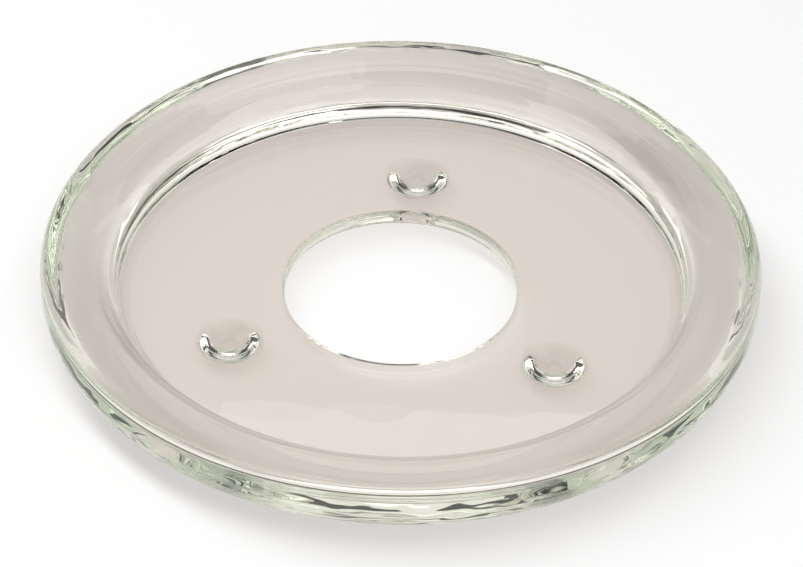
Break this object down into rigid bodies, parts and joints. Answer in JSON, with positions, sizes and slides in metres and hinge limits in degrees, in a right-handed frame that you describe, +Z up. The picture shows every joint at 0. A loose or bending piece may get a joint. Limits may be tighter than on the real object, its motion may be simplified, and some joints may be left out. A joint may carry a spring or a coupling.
{
  "type": "candle plate",
  "caption": "Round clear pressed-glass candle plate with a thick rounded rim, a sunk flat well, a centre hole and clear dome feet under the floor.",
  "frame": {"origin": "centre of the hole, on the plane that the feet stand on", "axes": "+Z up along the axis of the hole, +Y towards the foot that stands alone at the back, +X to the right"},
  "size_m": [0.136, 0.136, 0.0152],
  "materials": {
    "plate_glass": "clear pressed soda-lime glass with a faint green edge, fire-polished",
    "foot_glass": "clear polished glass dome"
  },
  "bodies": {
    "root": {"glass_plate": "plate_glass", "foot_back": "foot_glass", "foot_left": "foot_glass", "foot_right": "foot_glass"}
  },
  "joints": []
}
